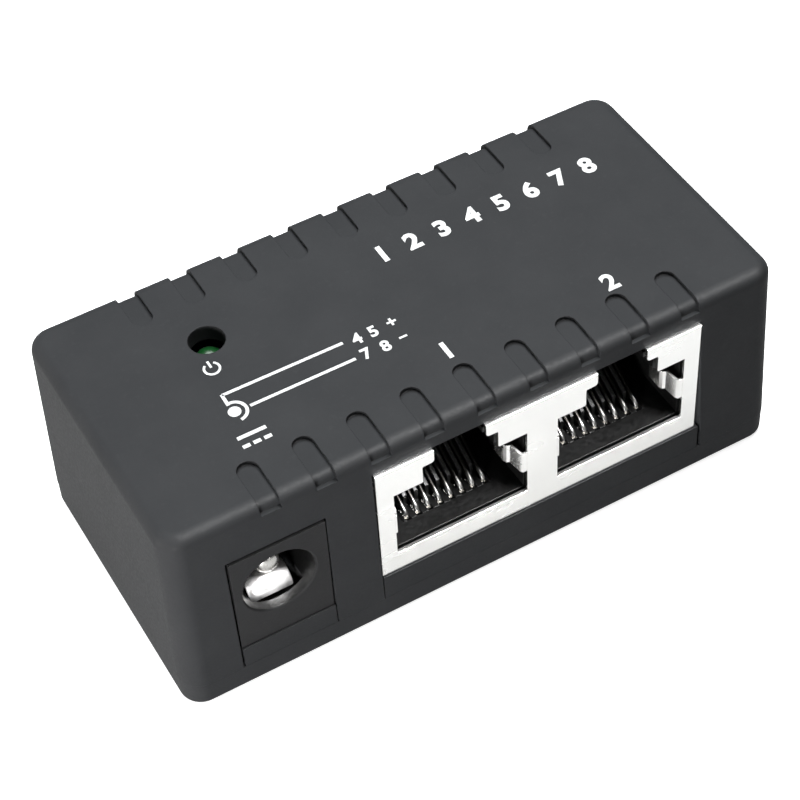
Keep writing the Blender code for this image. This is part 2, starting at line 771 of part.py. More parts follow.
def comb_ribs():
    """Ribs in each port that keep the contacts apart."""
    profile = comb_profile()
    ribs = []
    for port in range(PORT_COUNT):
        for i in range(CONTACT_COUNT - 1):
            x = contact_x(port, i) + CONTACT_PITCH / 2
            ends = (x - COMB_RIB / 2, x + COMB_RIB / 2)
            ribs.append(loft([[(end, y, z) for y, z in profile] for end in ends]))
    return helper("comb_ribs", several(ribs))


def rj45_housing():
    low = (SOCKET_LEFT + SHEET + GAP, HOUSING_FRONT, SEAT)
    high = (SOCKET_RIGHT - SHEET - GAP, HOUSING_REAR, HOUSING_TOP)
    housing = make_object("rj45_housing", box(low, high), insert_plastic())
    step = box(
        (SOCKET_LEFT - OVERRUN, FACE_Y - OVERRUN, SEAT - OVERRUN),
        (SOCKET_RIGHT + OVERRUN, NOSE_BACK, NOSE_BOTTOM),
    )
    cut(housing, helper("housing_step", step))
    opening = port_openings(FACE_Y - OVERRUN, CAVITY_REAR, HOUSING_TOP + OVERRUN)
    cut(housing, helper("housing_openings", opening))
    join(housing, comb_ribs())
    cut(housing, blade_slots())
    return housing


def blade_path():
    """(y, z) points of a contact's springing part, from its hinge to its free end."""
    bend = (BLADE_Y + WIRE, BLADE_Z + WIRE / 2)
    tip_y = bend[0] + BLADE_LENGTH * math.cos(BLADE_SLOPE)
    tip_z = bend[1] + BLADE_LENGTH * math.sin(BLADE_SLOPE)
    return [(BLADE_Y, BLADE_Z), bend, (tip_y, tip_z)]


def tail_path(row):
    """(y, z) points of a contact's fixed part, from under the hinge to below the board."""
    top = BLADE_Z - WIRE / 2 - GAP / 2
    return [(BLADE_Y, top), (BLADE_Y, TAIL_Z), (row, TAIL_Z), (row, LEAD_END)]


def contacts():
    for port, name in enumerate(PORT_NAMES):
        for i in range(CONTACT_COUNT):
            x = contact_x(port, i)
            blade = strip(blade_path(), WIRE, x - WIRE / 2, x + WIRE / 2)
            make_object(f"{name}_contact_{i + 1}", blade, spring_metal(), (x, BLADE_Y, BLADE_Z))
            tail = strip(tail_path(contact_row(i)), WIRE, x - WIRE / 2, x + WIRE / 2)
            make_object(f"{name}_tail_{i + 1}", tail, spring_metal())


# Power jack


def dc_jack_body():
    jack_right = JACK_LEFT + JACK_WIDTH
    block = box((JACK_LEFT, FACE_Y, SEAT), (jack_right, JACK_REAR, BOARD_TOP + JACK_HEIGHT))
    body = make_object("dc_jack_body", block, insert_plastic())
    step = box(
        (JACK_LEFT - OVERRUN, FACE_Y - OVERRUN, SEAT - OVERRUN),
        (jack_right + OVERRUN, NOSE_BACK, JACK_NOSE_BOTTOM),
    )
    cut(body, helper("jack_step", step))
    bore = [(BORE_RADIUS, FACE_Y + BORE_DEPTH), (BORE_RADIUS, FACE_Y - OVERRUN)]
    cut(body, helper("jack_bore", turned(bore, (JACK_X, BORE_Z), ROUND_STEPS, "Y")))
    tail_radius = PIN_TAIL_RADIUS + GAP
    tail = [(tail_radius, JACK_REAR + OVERRUN), (tail_radius, FACE_Y + BORE_DEPTH - WELD)]
    cut(body, helper("jack_pin_hole", turned(tail, (JACK_X, BORE_Z), SMALL_STEPS, "Y")))
    cut(body, leaf_room())
    half_x = SWITCH_STRIP_WIDTH / 2 + GAP
    half_y = LEAF_THICKNESS / 2 + GAP
    low = (SWITCH_X - half_x, SWITCH_LEAD_Y - half_y, SEAT - OVERRUN)
    high = (SWITCH_X + half_x, SWITCH_LEAD_Y + half_y, BORE_Z)
    cut(body, helper("switch_room", box(low, high)))
    return body


def leaf_room():
    """Hollow under the bore for the leaf to bend into, and the way out for its lead."""
    half = LEAF_WIDTH / 2 + GAP
    low = (JACK_X - half, LEAF_TIP_Y - GAP, LEAF_PIVOT_Z - LEAF_SINK)
    high = (JACK_X + half, SLEEVE_LEAD_Y + LEAF_THICKNESS / 2 + GAP, BORE_Z - BORE_RADIUS / 2)
    room = helper("leaf_room", box(low, high))
    half = TERMINAL_WIDTH / 2 + GAP
    low = (JACK_X - half, SLEEVE_LEAD_Y - LEAF_THICKNESS / 2 - GAP, SEAT - OVERRUN)
    high = (JACK_X + half, SLEEVE_LEAD_Y + LEAF_THICKNESS / 2 + GAP, LEAF_PIVOT_Z)
    return join(room, helper("sleeve_lead_room", box(low, high)))


def dc_center_pin():
    """Round pin with a domed tip, a thinner tail and a flat lead behind the body."""
    tip = FACE_Y + PIN_SETBACK
    rear = JACK_REAR + GAP + LEAF_THICKNESS
    shoulder = FACE_Y + BORE_DEPTH - GAP
    profile = [(PIN_TAIL_RADIUS, rear), (PIN_TAIL_RADIUS, shoulder), (PIN_RADIUS, shoulder)]
    for step in range(DOME_STEPS):
        angle = math.pi / 2 * step / DOME_STEPS
        place = tip + PIN_RADIUS / 2 * (1 - math.sin(angle))
        profile.append((PIN_RADIUS * math.cos(angle), place))
    shape = turned(profile, (JACK_X, BORE_Z), ROUND_STEPS, "Y")
    pin = make_object("dc_center_pin", shape, spring_metal())
    half = TERMINAL_WIDTH / 2
    low = (JACK_X - half, JACK_REAR + GAP, LEAD_END)
    high = (JACK_X + half, rear, BORE_Z + PIN_TAIL_RADIUS + WELD)
    return join(pin, helper("pin_lead", box(low, high)))


def leaf_path():
    """(y, z) points of the sleeve spring, from its hinge to its turned-down tip."""
    path = [(LEAF_PIVOT_Y, LEAF_PIVOT_Z)]
    path.append((LEAF_TIP_Y + LEAF_KNEE[0], LEAF_PIVOT_Z + LEAF_KNEE[1]))
    for back, drop in LEAF_NOSE:
        path.append((LEAF_TIP_Y + back, BORE_Z - LEAF_CREST - drop))
    return path


def jack_contacts():
    half = LEAF_WIDTH / 2
    leaf = strip(leaf_path(), LEAF_THICKNESS, JACK_X - half, JACK_X + half)
    make_object("dc_sleeve_spring", leaf, spring_metal(), (JACK_X, LEAF_PIVOT_Y, LEAF_PIVOT_Z))
    half = TERMINAL_WIDTH / 2
    start = (LEAF_PIVOT_Y + LEAF_THICKNESS + GAP, LEAF_PIVOT_Z)
    path = [start, (SLEEVE_LEAD_Y, LEAF_PIVOT_Z), (SLEEVE_LEAD_Y, LEAD_END)]
    lead = strip(path, LEAF_THICKNESS, JACK_X - half, JACK_X + half)
    make_object("dc_sleeve_lead", lead, spring_metal())
    half = SWITCH_STRIP_WIDTH / 2
    low = (SWITCH_X - half, SWITCH_LEAD_Y - LEAF_THICKNESS / 2, LEAD_END)
    high = (SWITCH_X + half, SWITCH_LEAD_Y + LEAF_THICKNESS / 2, BORE_Z - GAP)
    make_object("dc_switch_lead", box(low, high), spring_metal())


# Indicator and board parts


def power_led():
    """Domed lamp on long leads, its top just under the roof."""
    top = CASE_HEIGHT - ROOF - GAP
    low = top - LAMP_LENGTH
    shoulder = low + LAMP_FLANGE
    profile = [(LAMP_FLANGE_RADIUS, low), (LAMP_FLANGE_RADIUS, shoulder), (LAMP_RADIUS, shoulder)]
    for step in range(DOME_STEPS):
        angle = math.pi / 2 * step / DOME_STEPS
        profile.append((LAMP_RADIUS * math.cos(angle), top - LAMP_RADIUS * (1 - math.sin(angle))))
    make_object("power_led", turned(profile, (LAMP_X, LAMP_Y), ROUND_STEPS), lamp_resin())
    half = LAMP_LEAD / 2
    for name, (x, y) in zip(("led_anode_lead", "led_cathode_lead"), lamp_lead_places()):
        lead = box((x - half, y - half, LEAD_END), (x + half, y + half, low - GAP))
        make_object(name, lead, spring_metal())


def standing_block(name, x, y, size, finish):
    """Small part on the board, with softened edges."""
    low = (x - size[0] / 2, y - size[1] / 2, SEAT)
    high = (x + size[0] / 2, y + size[1] / 2, SEAT + size[2])
    shape = box(low, high)
    bmesh.ops.bevel(
        shape, geom=shape.edges[:], offset=CHIP_EDGE, segments=1, affect="EDGES", clamp_overlap=True
    )
    return make_object(name, shape, finish)


def board_parts():
    strip_depth = BOARD_HALF_WIDTH - SOCKET_REAR
    size = (TRANSFORMER_LENGTH, strip_depth - 2 * TRANSFORMER_CLEARANCE, TRANSFORMER_HEIGHT)
    x = (PORT_CENTRES[0] + PORT_CENTRES[-1]) / 2
    standing_block("pulse_transformer", x, SOCKET_REAR + strip_depth / 2, size, component_black())
    standing_block("led_resistor", SOCKET_LEFT - JACK_SPACING / 2, 0.0, RESISTOR_SIZE, ceramic())
    x = (SOCKET_RIGHT + BOARD_HALF_LENGTH) / 2
    y = -(DIODE_SIZE[1] + GAP) / 2
    standing_block("protection_diode", x, y, DIODE_SIZE, component_black())
    radius = (BOARD_HALF_LENGTH - SOCKET_RIGHT) / 2 - CAPACITOR_CLEARANCE
    y = radius + GAP / 2
    top = SEAT + CAPACITOR_HEIGHT
    neck = radius - CAPACITOR_RIM
    profile = [
        (neck, SEAT), (radius, SEAT + CAPACITOR_RIM), (radius, top - CAPACITOR_RIM), (neck, top),
    ]
    make_object("input_capacitor", turned(profile, (x, y), ROUND_STEPS), capacitor_sleeve())


def main():
    clear_scene()
    top_cover()
    base_plate()
    circuit_board()
    rj45_shield()
    rj45_housing()
    contacts()
    dc_jack_body()
    dc_center_pin()
    jack_contacts()
    power_led()
    board_parts()


main()
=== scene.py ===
"""Looks of the power-over-network injector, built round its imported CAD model.

Lengths are in metres. +X runs along the case to the right, the sockets face -Y, and +Z is up.
"""

import json
import math

import bmesh
import bpy
from mathutils import Matrix, Vector


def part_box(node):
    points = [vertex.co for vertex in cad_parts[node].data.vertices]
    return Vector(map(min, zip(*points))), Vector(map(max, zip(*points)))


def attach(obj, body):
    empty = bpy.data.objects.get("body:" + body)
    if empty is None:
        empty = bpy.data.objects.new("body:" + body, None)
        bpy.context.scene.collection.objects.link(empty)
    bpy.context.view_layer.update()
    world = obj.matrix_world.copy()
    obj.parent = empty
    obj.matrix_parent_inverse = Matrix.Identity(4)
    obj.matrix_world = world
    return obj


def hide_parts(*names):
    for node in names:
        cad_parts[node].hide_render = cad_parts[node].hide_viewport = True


MM = 0.001
ROOT = "injector"

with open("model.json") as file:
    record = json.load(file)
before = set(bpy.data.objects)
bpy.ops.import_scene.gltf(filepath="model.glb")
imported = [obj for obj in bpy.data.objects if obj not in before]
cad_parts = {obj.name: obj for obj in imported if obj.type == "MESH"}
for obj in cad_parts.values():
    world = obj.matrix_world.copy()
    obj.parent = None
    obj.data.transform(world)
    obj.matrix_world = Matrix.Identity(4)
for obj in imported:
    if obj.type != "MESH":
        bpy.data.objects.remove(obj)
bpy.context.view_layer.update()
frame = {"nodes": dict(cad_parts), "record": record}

# Shape of the case, as in the CAD model
CASE_LOW, CASE_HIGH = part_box("top_cover")
JACK_LOW, JACK_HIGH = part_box("dc_jack_body")
SHIELD_LOW, SHIELD_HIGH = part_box("rj45_shield")
LED_LOW, LED_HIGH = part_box("power_led")
PIN_LOW, PIN_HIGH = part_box("dc_center_pin")
END_SLOPE = math.tan(math.radians(1.5))
SIDE_SLOPE = math.tan(math.radians(2.0))
CORNER_RADIUS = 1.9 * MM
TOP_RADIUS = 1.1 * MM
FOOT_RADIUS = 0.5 * MM
WALL = 1.5 * MM
GAP = 0.3 * MM
CUT = 1.0 * MM
TOP = CASE_HIGH.z
SEAM = CASE_LOW.z
HALF_LENGTH = CASE_HIGH.x + SEAM * END_SLOPE
HALF_WIDTH = CASE_HIGH.y + SEAM * SIDE_SLOPE
GROOVES = 9
GROOVE_PITCH = 4.62 * MM
GROOVE_ROW_X = 0.2 * MM
GROOVE_WIDTH = 1.75 * MM
GROOVE_REACH = 4.4 * MM
GROOVE_DEPTH = 0.35 * MM
GROOVE_DROP = 1.15 * MM
BORE_RADIUS = 3.1 * MM
BORE_DEPTH = 10.0 * MM
LAMP_HOLE = 1.5 * MM
FACE_Y = JACK_LOW.y
JACK_X = (JACK_LOW.x + JACK_HIGH.x) / 2
JACK_LEFT = JACK_LOW.x + 0.42 * MM  # sides of the slot round the power jack
JACK_RIGHT = JACK_HIGH.x - 0.14 * MM
BORE_Z = JACK_HIGH.z - 4.4 * MM
LAMP_X = (LED_LOW.x + LED_HIGH.x) / 2
LAMP_Y = (LED_LOW.y + LED_HIGH.y) / 2
PORTS = {"poe": -2.5 * MM, "lan": 12.2 * MM}
HAIR = 0.1 * MM  # visible gap between neighbouring pieces
FLOOR = 1.2 * MM
LIP_OUTER = WALL + GAP
LIP_INNER = LIP_OUTER + 0.8 * MM
LIP_TOP = SEAM + 1.0 * MM
BOARD_LOW, BOARD_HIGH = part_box("circuit_board")
SEAT = BOARD_HIGH.z + GAP
JACK_TONGUE = 4.5 * MM
SOCKET_TONGUE = 4.9 * MM
SHEET = 0.3 * MM
PORT_FLOOR = SEAT - GAP + 3.15 * MM
PORT_SHAPE = [  # half widths and heights of a stepped opening
    (5.95, 0.0), (5.95, 6.95), (3.45, 6.95), (3.35, 7.05), (3.35, 8.6), (3.3, 8.72), (2.55, 8.75),
    (2.42, 8.8), (2.33, 8.9), (2.3, 9.05), (2.3, 12.0),
]
NOTCH = 2.3 * MM
SHIELD_TOP = SHIELD_HIGH.z + 0.15 * MM
# In from the opening's edge, back from the plate, lower and upper edges above the opening's floor
FINGERS = [
    (-0.2, 0.15, 2.4, 4.6), (0.35, 0.15, 2.4, 4.6), (0.47, 0.3, 2.45, 4.6),
    (0.8, 1.05, 2.9, 4.95), (0.9, 1.18, 3.0, 5.0), (1.15, 1.24, 3.05, 5.05), (1.27, 1.4, 3.1, 5.05),
    (1.4, 2.6, 3.4, 5.05),
]
WIRE = 0.4 * MM
HINGE_Y = FACE_Y + 2.9 * MM


# Materials


class Nodes:
    """Short way to build a material's node tree."""

    def __init__(self, name):
        self.material = bpy.data.materials.new(name)
        self.material.use_nodes = True
        self.tree = self.material.node_tree
        self.shader = self.tree.nodes["Principled BSDF"]

    def add(self, kind, **values):
        node = self.tree.nodes.new(kind)
        for key, value in values.items():
            if hasattr(node, key):
                setattr(node, key, value)
            else:
                node.inputs[key.replace("_", " ")].default_value = value
        return node

    def link(self, a, b):
        self.tree.links.new(a, b)

    def place(self):
        if not hasattr(self, "_place"):
            self._place = self.add("ShaderNodeTexCoord").outputs["Object"]
        return self._place

    def noise(self, scale, detail=2.0, roughness=0.5, stretch=None):
        source = self.place()
        if stretch:
            mapping = self.add("ShaderNodeMapping")
            mapping.inputs["Scale"].default_value = stretch
            self.link(source, mapping.inputs["Vector"])
            source = mapping.outputs["Vector"]
        node = self.add("ShaderNodeTexNoise")
        node.inputs["Scale"].default_value = scale
        node.inputs["Detail"].default_value = detail
        node.inputs["Roughness"].default_value = roughness
        self.link(source, node.inputs["Vector"])
        return node.outputs["Fac"]

    def ramp(self, source, low, high, a, b):
        node = self.add("ShaderNodeMapRange")
        node.inputs["From Min"].default_value = low
        node.inputs["From Max"].default_value = high
        node.inputs["To Min"].default_value = a
        node.inputs["To Max"].default_value = b
        self.link(source, node.inputs["Value"])
        return node.outputs["Result"]

    def colours(self, source, stops):
        node = self.add("ShaderNodeValToRGB")
        band = node.color_ramp
        while len(band.elements) < len(stops):
            band.elements.new(0.5)
        for element, (at, colour) in zip(band.elements, stops):
            element.position = at
            element.color = (*colour, 1.0)
        self.link(source, node.inputs["Fac"])
        return node.outputs["Color"]

    def soft_edges(self, radius):
        node = self.add("ShaderNodeBevel", samples=4)
        node.inputs["Radius"].default_value = radius
        return node.outputs["Normal"]

    def bump(self, height, distance, strength=1.0, normal=None):
        node = self.add("ShaderNodeBump")
        node.inputs["Distance"].default_value = distance
        node.inputs["Strength"].default_value = strength
        self.link(height, node.inputs["Height"])
        if normal is not None:
            self.link(normal, node.inputs["Normal"])
        return node.outputs["Normal"]

    def set(self, **values):
        for key, value in values.items():
            self.shader.inputs[key.replace("_", " ")].default_value = value


def moulded_plastic(name, dark, light, grain, roughness, specular, edge):
    """Moulded plastic with a fine spark-eroded grain, faint blotches and softened edges."""
    made = Nodes(name)
    blotch = made.noise(220.0, 3.0, 0.55)
    fine = made.noise(grain, 2.0, 0.6)
    colour = made.colours(blotch, [(0.3, dark), (0.7, light)])
    speck = made.noise(grain * 0.45, 1.0, 0.5)
    mix = made.add("ShaderNodeMix", data_type="RGBA", blend_type="MIX")
    made.link(made.ramp(speck, 0.62, 0.8, 0.0, 0.2), mix.inputs["Factor"])
    made.link(colour, mix.inputs[6])
    mix.inputs[7].default_value = (*[c * 1.3 for c in light], 1.0)
    made.link(mix.outputs[2], made.shader.inputs["Base Color"])
    made.link(made.ramp(fine, 0.3, 0.7, roughness - 0.06, roughness + 0.06), made.shader.inputs["Roughness"])
    made.link(made.bump(fine, 0.02 * MM, 0.5, made.soft_edges(edge)), made.shader.inputs["Normal"])
    made.set(Specular_IOR_Level=specular)
    return made.material


def plated_sheet(name, colour, roughness, edge):
    """Nickel-plated sheet with fine rolling lines and faint smudges."""
    made = Nodes(name)
    lines = made.noise(1400.0, 2.0, 0.5, (0.05, 1.0, 1.0))
    smudge = made.noise(260.0, 3.0, 0.5)
    low = [c * 0.97 for c in colour]
    tint = made.colours(smudge, [(0.35, low), (0.65, colour)])
    made.link(tint, made.shader.inputs["Base Color"])
    rough = made.add("ShaderNodeMath", operation="ADD")
    made.link(made.ramp(lines, 0.3, 0.7, roughness - 0.02, roughness + 0.02), rough.inputs[0])
    made.link(made.ramp(smudge, 0.4, 0.7, 0.0, 0.04), rough.inputs[1])
    made.link(rough.outputs[0], made.shader.inputs["Roughness"])
    made.link(made.bump(lines, 0.0005 * MM, 0.2, made.soft_edges(edge)), made.shader.inputs["Normal"])
    made.set(Metallic=1.0)
    return made.material


def spring_wire(name, low, high, roughness, shade_from=None):
    """Plated spring metal with drawing marks; behind a given depth its colour is multiplied darker, painted
    shade for the inside of a port.
    """
    made = Nodes(name)
    marks = made.noise(2400.0, 3.0, 0.5, (1.0, 0.08, 0.08))
    colour = made.colours(marks, [(0.3, low), (0.7, high)])
    # Painted shade: behind the given depth the colour is multiplied down to near black, standing in for the
    # shade deep in the port.
    if shade_from is not None:
        parts = made.add("ShaderNodeSeparateXYZ")
        made.link(made.place(), parts.inputs[0])
        mix = made.add("ShaderNodeMix", data_type="RGBA", blend_type="MULTIPLY")
        painted_shade = made.ramp(parts.outputs["Y"], shade_from, shade_from + 0.6 * MM, 0.0, 1.0)
        made.link(painted_shade, mix.inputs["Factor"])
        made.link(colour, mix.inputs[6])
        mix.inputs[7].default_value = (0.1, 0.095, 0.09, 1.0)
        colour = mix.outputs[2]
    made.link(colour, made.shader.inputs["Base Color"])
    made.link(made.ramp(marks, 0.3, 0.7, roughness - 0.04, roughness + 0.04), made.shader.inputs["Roughness"])
    made.link(made.bump(marks, 0.0005 * MM, 0.2), made.shader.inputs["Normal"])
    made.set(Metallic=1.0)
    return made.material


def clear_resin(name):
    """Clear green resin of an unlit lamp."""
    made = Nodes(name)
    haze = made.noise(700.0, 2.0)
    made.link(
        made.colours(haze, [(0.3, (0.004, 0.075, 0.012)), (0.7, (0.007, 0.12, 0.022))]),
        made.shader.inputs["Base Color"],
    )
    made.link(made.ramp(haze, 0.3, 0.7, 0.28, 0.36), made.shader.inputs["Roughness"])
    made.set(Transmission_Weight=0.3, IOR=1.5, Specular_IOR_Level=0.3)
    return made.material


def solder_mask(name):
    """Green solder mask over glass weave and faint copper tracks."""
    made = Nodes(name)
    wave = made.add("ShaderNodeTexWave", wave_type="BANDS", bands_direction="X")
    wave.inputs["Scale"].default_value = 260.0
    wave.inputs["Distortion"].default_value = 0.0
    made.link(made.place(), wave.inputs["Vector"])
    made.link(
        made.colours(wave.outputs["Fac"], [(0.45, (0.012, 0.11, 0.04)), (0.6, (0.02, 0.17, 0.06))]),
        made.shader.inputs["Base Color"],
    )
    weave = made.noise(3000.0, 1.0, 0.5, (1.0, 1.0, 0.2))
    made.link(made.ramp(weave, 0.3, 0.7, 0.32, 0.46), made.shader.inputs["Roughness"])
    made.link(made.bump(weave, 0.01 * MM, 0.3), made.shader.inputs["Normal"])
    return made.material


def white_ink(name):
    """Pad-printed white ink, slightly uneven."""
    made = Nodes(name)
    uneven = made.noise(2600.0, 3.0, 0.6)
    made.link(
        made.colours(uneven, [(0.25, (0.62, 0.62, 0.61)), (0.6, (0.86, 0.86, 0.85))]),
        made.shader.inputs["Base Color"],
    )
    made.link(made.ramp(uneven, 0.3, 0.7, 0.55, 0.7), made.shader.inputs["Roughness"])
    return made.material


CASE = moulded_plastic(
    "case_plastic", (0.031, 0.032, 0.034), (0.036, 0.037, 0.039),
    4200.0, 0.55, 0.05, 0.12 * MM,
)
INSERT = moulded_plastic(
    "insert_plastic", (0.004, 0.004, 0.004), (0.007, 0.007, 0.007),
    3200.0, 0.4, 0.25, 0.08 * MM,
)
JACK = moulded_plastic(
    "jack_plastic", (0.027, 0.027, 0.028), (0.032, 0.032, 0.033),
    4200.0, 0.5, 0.05, 0.1 * MM,
)
CHIP = moulded_plastic(
    "component_black", (0.014, 0.014, 0.015), (0.022, 0.022, 0.024),
    2600.0, 0.5, 0.4, 0.08 * MM,
)
CERAMIC = moulded_plastic("ceramic", (0.03, 0.03, 0.03), (0.05, 0.05, 0.05), 2200.0, 0.3, 0.5, 0.05 * MM)
SLEEVE = moulded_plastic(
    "capacitor_sleeve", (0.02, 0.028, 0.07), (0.03, 0.04, 0.1),
    1800.0, 0.32, 0.5, 0.1 * MM,
)
NICKEL = plated_sheet("nickel", (0.95, 0.945, 0.93), 0.24, 0.03 * MM)
SPRING = spring_wire("spring_metal", (0.74, 0.72, 0.68), (0.9, 0.88, 0.84), 0.22)
PIN = spring_wire("pin_metal", (0.5, 0.49, 0.47), (0.6, 0.59, 0.57), 0.26)
LEAF = spring_wire("leaf_metal", (0.92, 0.91, 0.9), (0.98, 0.97, 0.96), 0.36)
# The wires are painted darker from just past their bend backwards: painted shade inside the port.
WIRE_METAL = spring_wire("wire_metal", (0.13, 0.128, 0.125), (0.18, 0.178, 0.172), 0.34, HINGE_Y + 0.2 * MM)
RESIN = clear_resin("lamp_resin")
MASK = solder_mask("solder_mask")
INK = white_ink("white_ink")


# Mesh helpers


def new_object(name, shape, finish, smooth=40.0):
    """Object from a bmesh in the row frame."""
    bmesh.ops.recalc_face_normals(shape, faces=shape.faces)
    mesh = bpy.data.meshes.new(name)
    shape.to_mesh(mesh)
    shape.free()
    mesh.materials.append(finish)
    made = bpy.data.objects.new(name, mesh)
    bpy.context.scene.collection.objects.link(made)
    mesh.shade_smooth()
    mesh.set_sharp_from_angle(angle=math.radians(smooth))
    return made


def work_in(obj):
    """Turns an object's modifiers into its mesh."""
    graph = bpy.context.evaluated_depsgraph_get()
    mesh = bpy.data.meshes.new_from_object(obj.evaluated_get(graph))
    obj.modifiers.clear()
    obj.data = mesh
    return obj


def combine(target, shape, operation):
    """Cuts or joins a bmesh, and works the result in."""
    tool = new_object("tool", shape, target.data.materials[0])
    step = target.modifiers.new("step", "BOOLEAN")
    step.object = tool
    step.operation = operation
    step.solver = "EXACT"
    work_in(target)
    bpy.data.objects.remove(tool)
    return target


def even_normals(obj, smooth=40.0):
    """Keeps flats flat and rounds round."""
    obj.data.shade_smooth()
    obj.data.set_sharp_from_angle(angle=math.radians(smooth))
    step = obj.modifiers.new("normals", "WEIGHTED_NORMAL")
    step.weight = 100
    step.keep_sharp = True
    return work_in(obj)


def place(obj, body, slot, *nodes):
    """Seats a finished piece on its body and hides the CAD nodes it replaces."""
    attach(obj, body)
    if nodes:
        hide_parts(*nodes)
    return obj


def loft(rings):
    made = bmesh.new()
    rows = [[made.verts.new(point) for point in ring] for ring in rings]
    for lower, upper in zip(rows, rows[1:]):
        for i in range(len(lower)):
            j = (i + 1) % len(lower)
            made.faces.new((lower[i], lower[j], upper[j], upper[i]))
    made.faces.new(list(reversed(rows[0])))
    made.faces.new(rows[-1])
    return made


def add_shape(target, other):
    copy = bpy.data.meshes.new("joined")
    other.to_mesh(copy)
    other.free()
    target.from_mesh(copy)
    bpy.data.meshes.remove(copy)
    return target


def several(shapes):
    made = shapes[0]
    for shape in shapes[1:]:
        add_shape(made, shape)
    return made


def box(low, high):
    made = bmesh.new()
    bmesh.ops.create_cube(made, size=1.0)
    bmesh.ops.scale(made, vec=[high[i] - low[i] for i in range(3)], verts=made.verts)
    bmesh.ops.translate(made, vec=[(high[i] + low[i]) / 2 for i in range(3)], verts=made.verts)
    return made


def turned(profile, centre, steps, along="Z"):
    rings = []
    for radius, at in profile:
        ring = []
        for i in range(steps):
            angle = 2 * math.pi * i / steps
            a = radius * math.cos(angle)
            b = radius * math.sin(angle)
            if along == "Z":
                ring.append((centre[0] + a, centre[1] + b, at))
            else:
                ring.append((centre[0] + a, at, centre[1] + b))
        rings.append(ring)
    return loft(rings)


def rounded_rectangle(half_x, half_y, radius, steps):
    points = []
    for quarter in range(4):
        sign_x = 1 if quarter in (0, 3) else -1
        sign_y = 1 if quarter in (0, 1) else -1
        for i in range(steps + 1):
            angle = math.pi / 2 * (quarter + i / steps)
            x = sign_x * (half_x - radius) + radius * math.cos(angle)
            y = sign_y * (half_y - radius) + radius * math.sin(angle)
            points.append((x, y))
    return points


# Case


def end_x(height, inset=0.0):
    return HALF_LENGTH - height * END_SLOPE - inset


def side_y(height, inset=0.0):
    return HALF_WIDTH - height * SIDE_SLOPE - inset


def case_ring(height, inset, steps=10):
    radius = max(CORNER_RADIUS - inset, GAP)
    outline = rounded_rectangle(end_x(height, inset), side_y(height, inset), radius, steps)
    return [(x, y, height) for x, y in outline]


def top_rings(inset, steps=9):
    radius = TOP_RADIUS - inset
    rings = []
    for i in range(steps + 1):
        angle = math.pi / 2 * i / steps
        height = TOP - TOP_RADIUS + radius * math.sin(angle)
        rings.append(case_ring(height, inset + radius * (1 - math.cos(angle))))
    return rings


def groove_prism(x, side, steps=18):
    radius = GROOVE_WIDTH / 2
    inner = side_y(TOP) - GROOVE_REACH + radius
    outer = side_y(0.0) + CUT
    outline = []
    for i in range(steps + 1):
        angle = math.pi + math.pi * i / steps
        outline.append((x + radius * math.cos(angle), side * (inner + radius * math.sin(angle))))
    outline += [(x + radius, side * outer), (x - radius, side * outer)]
    return loft([[(px, py, level) for px, py in outline] for level in (TOP - GROOVE_DROP, TOP + CUT)])


def slot_prism(outline):
    """Prism through the front wall from (x, z) corners."""
    front = -side_y(0.0) - CUT
    back = -side_y(0.0) + WALL + CUT
    return loft([[(x, y, z) for x, z in outline] for y in (front, back)])


def jack_slot():
    low = SEAM - CUT
    top = JACK_HIGH.z + HAIR / 2
    left = JACK_LEFT
    right = JACK_RIGHT
    return slot_prism([(left, low), (right, low), (right, top), (left, top)])


def socket_slot():
    """The right side leans out towards its foot."""
    low = SEAM - CUT
    top = SHIELD_TOP + HAIR
    left = SHIELD_LOW.x - HAIR
    right = SHIELD_HIGH.x + HAIR
    return slot_prism([(left, low), (right + 0.55 * MM, low), (right, top), (left, top)])


def cover():
    """The cover with smooth fillets, its grooves, slots and lamp hole."""
    roof = TOP - WALL
    rings = [case_ring(roof, WALL), case_ring(SEAM, WALL), case_ring(SEAM, 0.0)] + top_rings(0.0)
    made = new_object("cover", loft(rings), CASE)
    first = GROOVE_ROW_X - GROOVE_PITCH * (GROOVES - 1) / 2
    prisms = [groove_prism(first + GROOVE_PITCH * i, side) for side in (-1, 1) for i in range(GROOVES)]
    cutter = new_object("groove_prisms", several(prisms), CASE)
    combine(cutter, loft([case_ring(0.0, GROOVE_DEPTH)] + top_rings(GROOVE_DEPTH)), "DIFFERENCE")
    step = made.modifiers.new("grooves", "BOOLEAN")
    step.object = cutter
    step.operation = "DIFFERENCE"
    step.solver = "EXACT"
    work_in(made)
    bpy.data.objects.remove(cutter)
    combine(made, several([jack_slot(), socket_slot()]), "DIFFERENCE")
    hole = [(LAMP_HOLE, roof - CUT), (LAMP_HOLE, TOP + CUT)]
    combine(made, turned(hole, (LAMP_X, LAMP_Y), 64), "DIFFERENCE")
    even_normals(made, 30.0)
    return place(made, ROOT, "case_plastic", "top_cover")


# Power jack


